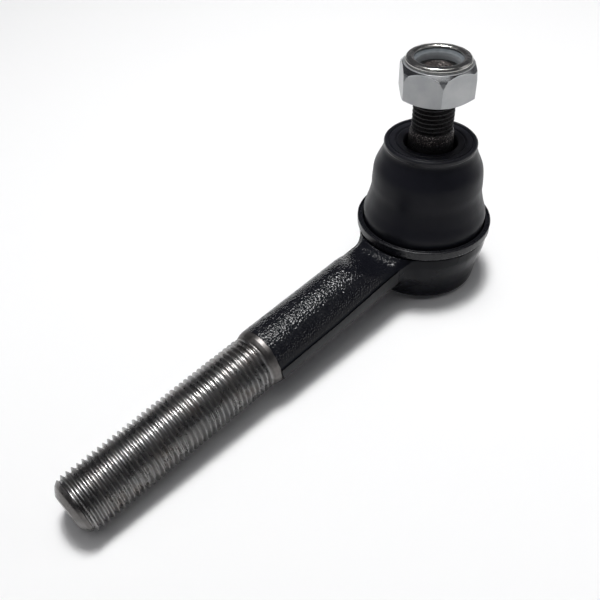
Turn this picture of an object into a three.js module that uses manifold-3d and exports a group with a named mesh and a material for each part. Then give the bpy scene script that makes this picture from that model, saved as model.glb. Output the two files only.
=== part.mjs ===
// Outer tie rod end of a steering linkage: a forged housing with a threaded shank, a ball stud
// held between two plastic seats, a rubber dust boot with its base ring, and a self-locking nut.
//
// Frame, in millimetres: the origin is the centre of the closing plate's bottom face, +Z runs up
// the ball stud, and the threaded shank leaves along -X, tilted down by SHANK_TILT.

import * as THREE from 'three';
import { mergeVertices } from 'three/addons/utils/BufferGeometryUtils.js';
import Module from 'manifold-3d';

const wasm = await Module();
wasm.setup();

// ---------------------------------------------------------------- driving dimensions

const GAP = 0.3; // clearance left between pieces that touch on the real object
const SIDES = 32; // facets round the pieces of revolution

const BALL_R = 10;
const BALL_Z = 13.8; // height of the ball's centre
const BALL_FLAT = 8.6; // the ball's flat lies this far below its centre
const SEAT_THICKNESS = 2;
const SEAT_MOUTH_R = 9; // opening of the upper seat, smaller than the ball
const SEAT_SPLIT = 0.4; // height of the seats' parting face above the ball's centre

const HOUSING_BASE_R = 17.2;
const HOUSING_TOP_R = 19.4;
const SHOULDER_Z = 16; // the face under the boot and its base ring
const TURRET_R = 15.4; // the collar inside the boot's foot
const TURRET_TOP_Z = 24.3;
const TURRET_MOUTH_R = 10.6;

const PLATE_R = 13.1;
const PLATE_THICKNESS = 1.5;
const PLATE_RISE = 1.9; // its flange sits this far above its dished middle
const LIP_R = 11; // inner edge of the housing's rolled lip
const LIP_THICKNESS = 1.6;

const SHANK_TILT = THREE.MathUtils.degToRad(6.6);
const BODY_R = 8.4; // half width of the forged shank
const BODY_END = 68.5; // all the shank's lengths are measured from the stud's axis
const THREAD_R = 8; // M16 x 1.5
const THREAD_START = 70.5;
const SHANK_END = 129.5;
const END_FACE_R = 4.75;
const NECK_TOP = 3.6; // height of the neck's flat top above the shank's axis
const NECK_START = 25.5;
const NECK_SLOPE_END = 33;
const FLASH_HALF_WIDTH = 8.62; // trimmed flash band along both sides
const FLASH_TOP = 1.6; // above the shank's axis
const FLASH_BOTTOM = -2.2;

const NECK_R = 5.6; // stud, between the ball and the taper
const TAPER_LARGE_R = 7.2;
const TAPER_SMALL_R = 6.2;
const TAPER_START_Z = 31.5;
const TAPER_END_Z = 47.5;
const STUD_THREAD_R = 5.85; // crests of the M12 x 1.25 thread
const STUD_END_Z = 66;

const RING_OUTER_R = 20;
const RING_INNER_R = 18.4;
const RING_BOTTOM_Z = 16.3;
const RING_TOP_Z = 19;

const BOOT_FOOT_R = 18.1;
const BOOT_INNER_R = 15.75;
const BOOT_LIP_R = 13.1;
const BOOT_TOP_Z = 44.5;
const LIP_HOLE_R = 6.95;
const LIP_UNDERSIDE_Z = 40.4;

const NUT_ACROSS_FLATS = 19;
const NUT_CORNER_ANGLE = THREE.MathUtils.degToRad(45.5);
const NUT_BOTTOM_Z = 58;
const HEX_TOP_Z = 67;
const NUT_TOP_Z = 68.8;
const POCKET_BOTTOM_Z = 65;
const COLLAR_R = 8.85;
const COLLAR_MOUTH_R = 6.5;
const INSERT_OUTER_R = 8;

// ---------------------------------------------------------------- materials

const paint = { color: 0x131416, roughness: 0.32, metalness: 0.1 };
const rubber = { color: 0x1b1b1d, roughness: 0.62, metalness: 0 };
const blackSteel = { color: 0x202123, roughness: 0.45, metalness: 0.6 };
const phosphate = { color: 0x1d1a1b, roughness: 0.55, metalness: 0.5 };
const zinc = { color: 0xb4b7ba, roughness: 0.28, metalness: 1 };
const steel = { color: 0x8f8f8d, roughness: 0.35, metalness: 1 };
const acetal = { color: 0xe6e3d8, roughness: 0.45, metalness: 0 };
const nylon = { color: 0x9aa1a8, roughness: 0.4, metalness: 0 };

// ---------------------------------------------------------------- helpers

const point = (r, z) => new THREE.Vector2(r, z);

// Points of a round stretch of a profile, about (0, centreZ), between two heights above it.
function ballArc(radius, centreZ, fromHeight, toHeight, steps) {
  const start = Math.asin(fromHeight / radius);
  const end = Math.asin(toHeight / radius);
  return Array.from({ length: steps + 1 }, (_, i) => {
    const angle = start + ((end - start) * i) / steps;
    return point(radius * Math.cos(angle), centreZ + radius * Math.sin(angle));
  });
}

// A solid of revolution about Z. The profile is closed back to its first point, and its points
// run anticlockwise with r to the right and z upwards, so that the faces point out.
function revolve(profile, sides = SIDES) {
  const closed = [...profile, profile[0].clone()];
  const geometry = new THREE.LatheGeometry(closed, sides);
  geometry.rotateX(Math.PI / 2);
  return geometry;
}

function toSolid(geometry) {
  const bare = geometry.clone();
  bare.deleteAttribute('normal');
  bare.deleteAttribute('uv');
  const merged = mergeVertices(bare, 1e-4);
  return new wasm.Manifold(
    new wasm.Mesh({
      numProp: 3,
      vertProperties: new Float32Array(merged.attributes.position.array),
      triVerts: new Uint32Array(merged.index.array),
    }),
  );
}

function toGeometry(solid) {
  const mesh = solid.getMesh();
  const geometry = new THREE.BufferGeometry();
  geometry.setAttribute('position', new THREE.BufferAttribute(mesh.vertProperties, 3));
  geometry.setIndex(new THREE.BufferAttribute(mesh.triVerts, 1));
  geometry.computeVertexNormals();
  return geometry;
}

// The shank's own frame: local X is up from its axis, Y is sideways and Z runs along it.
const alongShank = new THREE.Matrix4()
  .makeBasis(
    new THREE.Vector3(-Math.sin(SHANK_TILT), 0, Math.cos(SHANK_TILT)),
    new THREE.Vector3(0, 1, 0),
    new THREE.Vector3(-Math.cos(SHANK_TILT), 0, -Math.sin(SHANK_TILT)),
  )
  .setPosition(0, 0, BALL_Z);

// ---------------------------------------------------------------- the forging

function housingOutside() {
  return revolve([
    point(0, 0),
    point(HOUSING_BASE_R - 0.7, 0),
    point(HOUSING_BASE_R, 0.7),
    point(17.5, 4),
    point(18.1, 7),
    point(18.9, 10.2),
    point(HOUSING_TOP_R, 14),
    point(HOUSING_TOP_R, SHOULDER_Z - 0.4),
    point(HOUSING_TOP_R - 0.4, SHOULDER_Z),
    point(TURRET_R, SHOULDER_Z),
    point(TURRET_R, TURRET_TOP_Z - 1),
    point(TURRET_R - 1, TURRET_TOP_Z),
    point(0, TURRET_TOP_Z),
  ]);
}

// The stepped bore: rolled lip, seat of the closing plate, cylinder, ball socket and mouth.
function housingCavity() {
  const socketR = BALL_R + SEAT_THICKNESS + 2 * GAP;
  const plateSeatR = PLATE_R + GAP;
  const stepZ = PLATE_RISE + PLATE_THICKNESS + GAP;
  return revolve([
    point(0, -1),
    point(LIP_R, -1),
    point(LIP_R, LIP_THICKNESS),
    point(plateSeatR, LIP_THICKNESS),
    point(plateSeatR, stepZ),
    point(socketR, stepZ),
    ...ballArc(socketR, BALL_Z, 0, 8.5, 5),
    point(TURRET_MOUTH_R, TURRET_TOP_Z),
    point(TURRET_MOUTH_R, TURRET_TOP_Z + 1),
    point(0, TURRET_TOP_Z + 1),
  ]);
}

// Cross-section of the forged shank: a round bar with the trimmed flash band on both sides.
function shankSection() {
  const angleAt = (height) => Math.acos(height / BODY_R);
  const shape = new THREE.Shape();
  shape.absarc(0, 0, BODY_R, -angleAt(FLASH_TOP), angleAt(FLASH_TOP), false);
  shape.lineTo(FLASH_TOP, FLASH_HALF_WIDTH);
  shape.lineTo(FLASH_BOTTOM, FLASH_HALF_WIDTH);
  shape.absarc(0, 0, BODY_R, angleAt(FLASH_BOTTOM), 2 * Math.PI - angleAt(FLASH_BOTTOM), false);
  shape.lineTo(FLASH_BOTTOM, -FLASH_HALF_WIDTH);
  shape.lineTo(FLASH_TOP, -FLASH_HALF_WIDTH);
  return shape;
}

// The forged bar, from inside the housing to the shoulder.
function shankBar() {
  return new THREE.ExtrudeGeometry(shankSection(), {
    depth: BODY_END - 1,
    bevelEnabled: false,
    curveSegments: 10,
  });
}

// Everything above the neck: a block with a sloped end that lowers the bar's top.
function neckCut() {
  const clear = BODY_R + 2;
  const outline = new THREE.Shape();
  outline.moveTo(-1, NECK_TOP);
  outline.lineTo(NECK_START, NECK_TOP);
  outline.lineTo(NECK_SLOPE_END, BODY_R);
  outline.lineTo(NECK_SLOPE_END, clear);
  outline.lineTo(-1, clear);
  const block = new THREE.ExtrudeGeometry(outline, { depth: 2 * clear, bevelEnabled: false });
  // Outline x runs along the shank and y up from its axis.
  block.applyMatrix4(
    new THREE.Matrix4().makeBasis(
      new THREE.Vector3(0, 0, 1),
      new THREE.Vector3(1, 0, 0),
      new THREE.Vector3(0, 1, 0),
    ),
  );
  block.translate(0, -clear, 0);
  return block;
}

// Shoulder, thread envelope, end chamfer and flat end face.
function shankThread() {
  return revolve([
    point(0, BODY_END - 2),
    point(BODY_R - 0.2, BODY_END - 2),
    point(BODY_R, BODY_END),
    point(THREAD_R, THREAD_START),
    point(THREAD_R, SHANK_END - 2.2),
    point(6.4, SHANK_END - 0.8),
    point(END_FACE_R, SHANK_END),
    point(0, SHANK_END),
  ]);
}

function forgedHousing() {
  const shank = toSolid(shankBar()).subtract(toSolid(neckCut())).add(toSolid(shankThread()));
  const placed = toSolid(toGeometry(shank).applyMatrix4(alongShank));
  return toGeometry(placed.add(toSolid(housingOutside())).subtract(toSolid(housingCavity())));
}

// ---------------------------------------------------------------- ball joint

// A dished steel disc: flat middle, sloped wall and the flange under the rolled lip.
function closingPlate() {
  const top = PLATE_RISE + PLATE_THICKNESS;
  return revolve([
    point(0, 0),
    point(9.4, 0),
    point(10.3, PLATE_RISE),
    point(PLATE_R, PLATE_RISE),
    point(PLATE_R, top),
    point(9.4, top),
    point(8.8, PLATE_THICKNESS),
    point(0, PLATE_THICKNESS),
  ]);
}

// A coned spring washer that pushes the lower seat up from the plate.
function preloadSpring() {
  const bottom = PLATE_THICKNESS + GAP;
  const thickness = 0.7;
  const cone = 0.9;
  return revolve([
    point(8.4, bottom),
    point(8.4, bottom + thickness),
    point(4.2, bottom + thickness + cone),
    point(4.2, bottom + cone),
  ]);
}

function lowerBallSeat() {
  const innerR = BALL_R + GAP;
  const outerR = innerR + SEAT_THICKNESS;
  const bottom = PLATE_RISE + PLATE_THICKNESS + 1.3 * GAP;
  const holeR = 4.6;
  const holeDepth = Math.sqrt(innerR ** 2 - holeR ** 2);
  return revolve([
    point(holeR, bottom),
    point(outerR - 0.6, bottom),
    point(outerR, bottom + 0.6),
    point(outerR, BALL_Z + SEAT_SPLIT - GAP),
    ...ballArc(innerR, BALL_Z, SEAT_SPLIT - GAP, -holeDepth, 7),
  ]);
}

function upperBallSeat() {
  const innerR = BALL_R + GAP;
  const outerR = innerR + SEAT_THICKNESS;
  const mouthHeight = Math.sqrt(innerR ** 2 - SEAT_MOUTH_R ** 2);
  return revolve([
    ...ballArc(outerR, BALL_Z, SEAT_SPLIT, 7.6, 4),
    ...ballArc(innerR, BALL_Z, mouthHeight, SEAT_SPLIT, 4),
  ]);
}

function ballStud() {
  const neckHeight = Math.sqrt(BALL_R ** 2 - NECK_R ** 2);
  return revolve([
    point(0, BALL_Z - BALL_FLAT),
    ...ballArc(BALL_R, BALL_Z, -BALL_FLAT, neckHeight, 12),
    point(NECK_R, TAPER_START_Z - 3),
    point(TAPER_LARGE_R, TAPER_START_Z),
    point(TAPER_SMALL_R, TAPER_END_Z),
    point(STUD_THREAD_R, TAPER_END_Z + 0.4),
    point(STUD_THREAD_R, STUD_END_Z - 0.8),
    point(STUD_THREAD_R - 0.8, STUD_END_Z),
    point(0, STUD_END_Z),
  ]);
}

// ---------------------------------------------------------------- boot

function bootBaseRing() {
  const rimR = RING_OUTER_R - 0.6;
  return revolve([
    point(RING_INNER_R, RING_BOTTOM_Z),
    point(RING_OUTER_R - 0.3, RING_BOTTOM_Z),
    point(RING_OUTER_R, RING_BOTTOM_Z + 0.3),
    point(RING_OUTER_R, RING_TOP_Z),
    point(rimR, RING_TOP_Z),
    point(rimR - 0.3, RING_TOP_Z - 0.5),
    point(RING_INNER_R, RING_TOP_Z - 0.5),
  ]);
}

// The skirt's outside, from the foot over the bulge and the waist to the pinch under the lip.
function bootOutside() {
  const curve = new THREE.SplineCurve([
    point(BOOT_FOOT_R, RING_TOP_Z),
    point(18.1, 21.8),
    point(17.1, 25),
    point(16.2, 29),
    point(16.05, 32.5),
    point(15.5, 36.6),
    point(14, 40),
    point(13, 42.5),
  ]);
  return curve.getPoints(14);
}

// The foot stands round the housing's turret. The lip ends in a collar round the stud, with a
// groove on its underside that holds the lip ring.
function dustBoot() {
  return revolve([
    point(BOOT_INNER_R, RING_BOTTOM_Z),
    point(BOOT_FOOT_R, RING_BOTTOM_Z),
    ...bootOutside(),
    point(BOOT_LIP_R, 43.1),
    point(BOOT_LIP_R, BOOT_TOP_Z),
    point(BOOT_LIP_R - 0.9, BOOT_TOP_Z),
    point(BOOT_LIP_R - 1.3, BOOT_TOP_Z - 0.6),
    point(LIP_HOLE_R + 0.5, BOOT_TOP_Z - 0.6),
    point(LIP_HOLE_R, BOOT_TOP_Z - 2),
    point(LIP_HOLE_R, LIP_UNDERSIDE_Z),
    point(7.8, LIP_UNDERSIDE_Z),
    point(7.8, LIP_UNDERSIDE_Z + 2.2),
    point(10, LIP_UNDERSIDE_Z + 2.2),
    point(10, LIP_UNDERSIDE_Z),
    point(11.6, 39.7),
    point(13.4, 37),
    point(14.3, 33),
    point(14.5, 28.5),
    point(BOOT_INNER_R, 24),
  ]);
}

function bootLipRing() {
  const bottom = LIP_UNDERSIDE_Z + 0.1;
  return revolve([
    point(8.1, bottom),
    point(9.7, bottom),
    point(9.7, bottom + 1.8),
    point(8.1, bottom + 1.8),
  ]);
}

// ---------------------------------------------------------------- nut

function lockNut() {
  const cornerR = NUT_ACROSS_FLATS / Math.sqrt(3);
  const boreR = STUD_THREAD_R + GAP;
  const pocketR = INSERT_OUTER_R + GAP;
  const turned = revolve(
    [
      point(boreR + 0.7, NUT_BOTTOM_Z),
      point(9.1, NUT_BOTTOM_Z),
      point(cornerR + 0.1, NUT_BOTTOM_Z + 1.1),
      point(cornerR + 0.1, HEX_TOP_Z - 3.7),
      point(10.4, HEX_TOP_Z - 1.5),
      point(9.3, HEX_TOP_Z + 0.1),
      point(COLLAR_R, HEX_TOP_Z + 0.5),
      point(COLLAR_R, NUT_TOP_Z - 0.8),
      point(COLLAR_R - 0.6, NUT_TOP_Z - 0.2),
      point(COLLAR_R - 1.4, NUT_TOP_Z),
      point(COLLAR_MOUTH_R + 0.3, NUT_TOP_Z - 0.2),
      point(COLLAR_MOUTH_R, NUT_TOP_Z - 0.8),
      point(pocketR, NUT_TOP_Z - 0.8),
      point(pocketR, POCKET_BOTTOM_Z),
      point(boreR, POCKET_BOTTOM_Z),
      point(boreR, NUT_BOTTOM_Z + 0.7),
    ],
    36,
  );
  const hexagon = new THREE.CylinderGeometry(cornerR, cornerR, 16, 6);
  hexagon.rotateX(Math.PI / 2);
  hexagon.rotateZ(Math.PI / 2);
  hexagon.translate(0, 0, (NUT_BOTTOM_Z + NUT_TOP_Z) / 2);
  return toGeometry(toSolid(turned).intersect(toSolid(hexagon)));
}

function nylonInsert() {
  const innerR = STUD_THREAD_R + GAP;
  const bottom = POCKET_BOTTOM_Z + GAP;
  const top = NUT_TOP_Z - 0.8 - GAP;
  return revolve([
    point(innerR, bottom),
    point(INSERT_OUTER_R, bottom),
    point(INSERT_OUTER_R, top),
    point(innerR + 0.1, top),
  ]);
}

// ---------------------------------------------------------------- assembly

function piece(name, geometry, finish) {
  const mesh = new THREE.Mesh(geometry, new THREE.MeshStandardMaterial(finish));
  mesh.name = name;
  return mesh;
}

const housingGroup = new THREE.Group();
housingGroup.add(
  piece('forged_housing', forgedHousing(), paint),
  piece('closing_plate', closingPlate(), blackSteel),
  piece('preload_spring', preloadSpring(), steel),
  piece('lower_ball_seat', lowerBallSeat(), acetal),
  piece('upper_ball_seat', upperBallSeat(), acetal),
);

const bootGroup = new THREE.Group();
bootGroup.add(
  piece('boot_base_ring', bootBaseRing(), blackSteel),
  piece('dust_boot', dustBoot(), rubber),
  piece('boot_lip_ring', bootLipRing(), steel),
);

const nutGroup = new THREE.Group();
nutGroup.rotation.z = NUT_CORNER_ANGLE;
nutGroup.add(
  piece('lock_nut', lockNut(), zinc),
  piece('nylon_insert', nylonInsert(), nylon),
);

const tieRodEnd = new THREE.Group();
tieRodEnd.add(housingGroup, piece('ball_stud', ballStud(), phosphate), bootGroup, nutGroup);

export default tieRodEnd;
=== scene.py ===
import math

import bmesh
import bpy
import numpy as np
from mathutils import Matrix, Vector


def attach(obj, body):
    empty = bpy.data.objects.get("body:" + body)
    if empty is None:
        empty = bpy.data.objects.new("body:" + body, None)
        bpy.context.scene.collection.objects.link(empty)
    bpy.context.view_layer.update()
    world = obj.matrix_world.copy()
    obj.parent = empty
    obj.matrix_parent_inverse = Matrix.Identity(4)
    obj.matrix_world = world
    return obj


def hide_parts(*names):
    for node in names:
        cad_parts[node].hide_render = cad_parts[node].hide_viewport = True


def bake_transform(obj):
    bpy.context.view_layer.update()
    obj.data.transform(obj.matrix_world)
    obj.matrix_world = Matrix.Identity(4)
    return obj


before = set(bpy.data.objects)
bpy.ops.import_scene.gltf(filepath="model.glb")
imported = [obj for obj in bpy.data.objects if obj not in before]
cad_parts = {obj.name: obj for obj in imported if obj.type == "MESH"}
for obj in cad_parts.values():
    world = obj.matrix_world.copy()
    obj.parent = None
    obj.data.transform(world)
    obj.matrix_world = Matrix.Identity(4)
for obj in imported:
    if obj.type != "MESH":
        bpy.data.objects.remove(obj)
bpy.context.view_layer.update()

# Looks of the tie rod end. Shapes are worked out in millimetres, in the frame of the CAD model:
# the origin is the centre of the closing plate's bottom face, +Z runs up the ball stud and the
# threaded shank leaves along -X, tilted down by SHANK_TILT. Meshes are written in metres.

MM = 0.001
PI = math.pi

# ---------------------------------------------------------------- dimensions, in millimetres

BALL_R = 10.0
BALL_Z = 13.8
BALL_FLAT = 8.6  # from the ball's centre down to its flat underside

# The shank. Heights are above its own axis, and lengths run along it from the stud's axis.
SHANK_TILT = math.radians(6.6)
BAR_R = 8.45
BAR_END = 67.8
NECK_TOP = 3.6
NECK_RAMP_START = 26.3
NECK_RAMP_RISE = 0.72
NECK_RAMP_SCALE = 1.23  # makes the ramp's field a distance: about the root of 1 + rise squared
THREAD_R = 7.98
THREAD_ROOT_R = 7.62
THREAD_DEPTH = 0.92
THREAD_PITCH = 1.5
THREAD_START = 70.3
THREAD_END = 128.2
END_CHAMFER_R = 6.85
SHANK_END = 129.5

# The land: the trimmed strip on each side of the bar. Its top falls in a straight line towards the
# thread, through LAND_MIDDLE_TOP at LAND_MIDDLE, between the two limits.
LAND_Y = 8.62
LAND_BOTTOM = -2.45
LAND_TOP_LIMITS = (1.2, 2.2)
LAND_MIDDLE = 46
LAND_MIDDLE_TOP = 1.25
LAND_FALL = 0.045
LAND_FALL_FROM, LAND_FALL_TO = 24.9, 47.1  # where that line meets the limits

NECK_BLEND = 1.8
NECK_RAMP_BLEND = 2.5
LAND_BLEND = 0.6
HOUSING_BLEND = 4.0

STUD_NECK_R = 5.6
STUD_THREAD_R = 5.8
STUD_THREAD_DEPTH = 0.7
STUD_PITCH = 1.25
STUD_TAPER_TOP = 47.3
STUD_THREAD_START = 48.2
STUD_TIP_R = 3.9
STUD_END = 65.7

SHOULDER_Z = 16.0
TURRET_R = 15.4
HOUSING_TOP = 24.3

NUT_FLATS = 19.0
NUT_CORNER_ANGLE = math.radians(45.5)
NUT_BOTTOM = 58.0
NUT_TOP = 68.8
COLLAR_FOOT = (67.35, 67.5)  # heights between which the shelf turns into the rolled collar

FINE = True
SIDES = 192 if FINE else 96
SHANK_SIDES = 144 if FINE else 96
STUD_SIDES = 128 if FINE else 80
CONTOUR_STEP = 0.34 if FINE else 0.55
ROWS_PER_PITCH = 16


# ---------------------------------------------------------------- mesh helpers

def make_object(name, points_mm, faces, smooth_angle=35.0):
    """An object from points in millimetres, with normals facing out and creases kept sharp."""
    mesh = bpy.data.meshes.new(name)
    mesh.from_pydata((np.asarray(points_mm, float) * MM).tolist(), [], faces)
    mesh.validate()
    obj = bpy.data.objects.new(name, mesh)
    bpy.context.scene.collection.objects.link(obj)
    merge_and_orient(mesh)
    mesh.shade_smooth()
    mesh.set_sharp_from_angle(angle=math.radians(smooth_angle))
    return obj


def merge_and_orient(mesh):
    """Joins points that coincide and turns the faces outwards. Distances are in metres."""
    merge_distance, shortest_edge = 2e-7, 1e-7
    work = bmesh.new()
    work.from_mesh(mesh)
    bmesh.ops.remove_doubles(work, verts=work.verts, dist=merge_distance)
    bmesh.ops.dissolve_degenerate(work, edges=work.edges, dist=shortest_edge)
    if work.calc_volume(signed=True) < 0:
        bmesh.ops.reverse_faces(work, faces=work.faces)
    work.to_mesh(mesh)
    work.free()


def rounded(corners, step_deg=12.0):
    """A profile's points from (r, z, fillet) corners, with an arc at each corner that has one."""
    out = []
    count = len(corners)
    for i, (r, z, fillet) in enumerate(corners):
        here = np.array([r, z], float)
        if fillet <= 0 or i in (0, count - 1):
            out.append(here)
            continue
        before = np.array(corners[i - 1][:2], float) - here
        after = np.array(corners[i + 1][:2], float) - here
        to_before, to_after = np.linalg.norm(before), np.linalg.norm(after)
        before, after = before / to_before, after / to_after
        turn = PI - math.acos(max(-1.0, min(1.0, float(before @ after))))
        if turn < math.radians(3):
            out.append(here)
            continue
        reach = min(fillet * math.tan(turn / 2), 0.48 * to_before, 0.48 * to_after)
        radius = reach / math.tan(turn / 2)
        middle = before + after
        middle /= np.linalg.norm(middle)
        centre = here + middle * math.hypot(radius, reach)
        start, end = here + before * reach, here + after * reach
        a0 = math.atan2(*(start - centre)[::-1])
        a1 = math.atan2(*(end - centre)[::-1])
        sweep = (a1 - a0 + PI) % (2 * PI) - PI
        steps = max(2, math.ceil(abs(math.degrees(sweep)) / step_deg))
        for k in range(steps + 1):
            angle = a0 + sweep * k / steps
            out.append(centre + radius * np.array([math.cos(angle), math.sin(angle)]))
    return np.array(out)


def spaced(profile, longest):
    """The profile with its long straight runs divided, so that shading stays even."""
    out = [profile[0]]
    for a, b in zip(profile[:-1], profile[1:]):
        parts = max(1, math.ceil(np.linalg.norm(b - a) / longest))
        out.extend(a + (b - a) * (k + 1) / parts for k in range(parts))
    return np.array(out)


def catmull_rom(points, per_span):
    """A smooth curve through the points."""
    p = np.array(points, float)
    p = np.vstack([2 * p[0] - p[1], p, 2 * p[-1] - p[-2]])
    t = np.linspace(0, 1, per_span, endpoint=False)[:, None]
    spans = [
        0.5 * (2 * b + (c - a) * t + (2 * a - 5 * b + 4 * c - d) * t**2 + (3 * b - a - 3 * c + d) * t**3)
        for a, b, c, d in zip(p[:-3], p[1:-2], p[2:-1], p[3:])
    ]
    return np.vstack([*spans, p[-2:-1]])


def ring_faces(rows, sides, closed):
    """Quads between rings of points, row after row."""
    faces = []
    for j in range(rows if closed else rows - 1):
        base, upper = j * sides, ((j + 1) % rows) * sides
        for i in range(sides):
            k = (i + 1) % sides
            faces.append((base + i, base + k, upper + k, upper + i))
    return faces


def lathe(name, profile, closed=True, smooth_angle=35.0):
    """A solid of revolution about Z. A closed profile makes a ring, an open one starts and ends on
    the axis."""
    angle = np.arange(SIDES) * 2 * PI / SIDES
    r = np.repeat(profile[:, :1], SIDES, 1)
    z = np.repeat(profile[:, 1:], SIDES, 1)
    points = np.stack([r * np.cos(angle), r * np.sin(angle), z], -1).reshape(-1, 3)
    return make_object(name, points, ring_faces(len(profile), SIDES, closed), smooth_angle)


def matrix_of(*columns):
    """A transform from its three axes and its origin."""
    matrix = Matrix.Identity(4)
    for n, column in enumerate(columns):
        matrix[0][n], matrix[1][n], matrix[2][n] = column
    return matrix


def smooth_min(a, b, k):
    """The smaller of two fields, blended where they differ by less than k."""
    h = np.clip(0.5 + 0.5 * (b - a) / k, 0, 1)
    return b + (a - b) * h - k * h * (1 - h)


def smooth_max(a, b, k):
    """The larger of two fields, blended in the same way."""
    return -smooth_min(-a, -b, k)


def smooth_step(x, low, high):
    """0 below low, 1 above high and eased between them."""
    t = np.clip((x - low) / (high - low), 0, 1)
    return t * t * (3 - 2 * t)


# ---------------------------------------------------------------- noise on points

def lattice_noise(points, seed):
    """Smooth value noise between -1 and 1 on an (n, 3) array, with features about 1 unit long. The
    large numbers scramble each cell's corner and the seed into a height."""
    cell = np.floor(points).astype(np.int64)
    part = points - cell
    part = part * part * (3 - 2 * part)
    total = np.zeros(len(points))
    for dx in (0, 1):
        for dy in (0, 1):
            for dz in (0, 1):
                h = (cell[:, 0] + dx) * 374761393 + (cell[:, 1] + dy) * 668265263
                h = h + (cell[:, 2] + dz) * 2147483647 + seed * 1274126177
                h = (h ^ (h >> 13)) * 1274126177
                h = (h ^ (h >> 16)) & 0xFFFF
                weight = (
                    (part[:, 0] if dx else 1 - part[:, 0])
                    * (part[:, 1] if dy else 1 - part[:, 1])
                    * (part[:, 2] if dz else 1 - part[:, 2])
                )
                total += weight * (h / 32767.5 - 1)
    return total


# ---------------------------------------------------------------- implicit solids

def polygon_distance(corners):
    """Signed distance to a closed polygon in the (r, z) plane, negative inside."""
    corners = np.asarray(corners, float)

    def distance(r, z):
        best = np.full(r.shape, 1e9)
        sign = np.ones(r.shape)
        for (ax, ay), (bx, by) in zip(corners, np.roll(corners, -1, 0)):
            ex, ey = bx - ax, by - ay
            wx, wy = r - ax, z - ay
            t = np.clip((wx * ex + wy * ey) / max(ex * ex + ey * ey, 1e-12), 0, 1)
            best = np.minimum(best, (wx - ex * t) ** 2 + (wy - ey * t) ** 2)
            above, below = z >= ay, z < by
            left = ex * wy > ey * wx
            sign = np.where((above & below & left) | (~above & ~below & ~left), -sign, sign)
        return sign * np.sqrt(best)

    return distance


def contour(distance, low, high, step):
    """A closed quad mesh of the zero level of a signed distance. Each cell's point is the one that
    best meets the surface's tangent planes where it crosses the cell's edges, so creases stay sharp.
    A weak pull towards the mean of those crossings settles the point where the planes don't."""
    pull = 0.04
    axes = [np.arange(a, b + step, step) for a, b in zip(low, high)]
    shape = tuple(len(a) for a in axes)
    field = np.empty(shape)
    for i, x in enumerate(axes[0]):
        y, z = np.meshgrid(axes[1], axes[2], indexing="ij")
        slab = np.stack([np.full(y.size, x), y.ravel(), z.ravel()], 1)
        field[i] = distance(slab).reshape(y.shape)
    inside = field < 0
    crossings = []
    for axis in range(3):
        first = np.moveaxis(inside, axis, 0)[:-1]
        second = np.moveaxis(inside, axis, 0)[1:]
        edges = np.argwhere(np.moveaxis(first != second, 0, axis))
        along = np.eye(3, dtype=int)[axis]
        fa, fb = field[tuple(edges.T)], field[tuple((edges + along).T)]
        crossings.append((axis, edges, edges + (fa / (fa - fb))[:, None] * along))
    # The four cells round an edge of each axis, as steps back from the edge's own cell.
    around = (
        ((0, 1, 1), (0, 0, 1), (0, 0, 0), (0, 1, 0)),
        ((1, 0, 1), (1, 0, 0), (0, 0, 0), (0, 0, 1)),
        ((1, 1, 0), (0, 1, 0), (0, 0, 0), (1, 0, 0)),
    )
    cells = np.concatenate([e - np.array(o) for axis, e, _ in crossings for o in around[axis]])
    cells, owner = np.unique(cells, axis=0, return_inverse=True)
    owner = owner.ravel()
    count = len(cells)
    ids = np.full(shape, -1)
    ids[tuple(cells.T)] = np.arange(count)
    normal_sum, plane_sum = np.zeros((count, 9)), np.zeros((count, 3))
    point_sum, hits = np.zeros((count, 3)), np.zeros(count)
    faces, start = [], 0
    for axis, edges, hit in crossings:
        hit = hit * step + np.array(low)
        normal = surface_normals(distance, hit)
        outer = (normal[:, :, None] * normal[:, None, :]).reshape(-1, 9)
        plane = normal * (normal * hit).sum(1, keepdims=True)
        for _ in around[axis]:
            where = owner[start:start + len(edges)]
            for n in range(9):
                normal_sum[:, n] += np.bincount(where, outer[:, n], count)
            for n in range(3):
                plane_sum[:, n] += np.bincount(where, plane[:, n], count)
                point_sum[:, n] += np.bincount(where, hit[:, n], count)
            hits += np.bincount(where, minlength=count)
            start += len(edges)
        quads = np.stack([ids[tuple((edges - np.array(o)).T)] for o in around[axis]], 1)
        outwards = inside[tuple(edges.T)]
        faces.append(np.where(outwards[:, None], quads, quads[:, ::-1]))
    centre = point_sum / hits[:, None]
    matrix = normal_sum.reshape(-1, 3, 3) + pull * np.eye(3)
    target = plane_sum + pull * centre
    points = np.linalg.solve(matrix, target[:, :, None])[:, :, 0]
    # A point may leave its cell by a tenth of the cell's size.
    corner = cells * step + np.array(low)
    points = np.clip(points, corner - 0.1 * step, corner + 1.1 * step)
    return points, np.concatenate(faces)


def surface_normals(distance, points, h=0.02):
    """Unit normals of a signed distance, from its differences over h to either side."""
    parts = []
    for axis in range(3):
        shift = np.zeros(3)
        shift[axis] = h
        parts.append((distance(points + shift) - distance(points - shift)) / (2 * h))
    slope = np.stack(parts, 1)
    return slope / np.maximum(np.linalg.norm(slope, axis=1, keepdims=True), 1e-9)


# ---------------------------------------------------------------- forging

# The shank's own frame: up from its axis, sideways, and along it from the stud's axis.
SHANK_UP = np.array([-math.sin(SHANK_TILT), 0, math.cos(SHANK_TILT)])
SHANK_ALONG = np.array([-math.cos(SHANK_TILT), 0, -math.sin(SHANK_TILT)])
SHANK_ORIGIN = np.array([0, 0, BALL_Z])

AXIS_R = -6.0  # profiles of the implicit solids cross the axis, so that it isn't a wall

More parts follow.
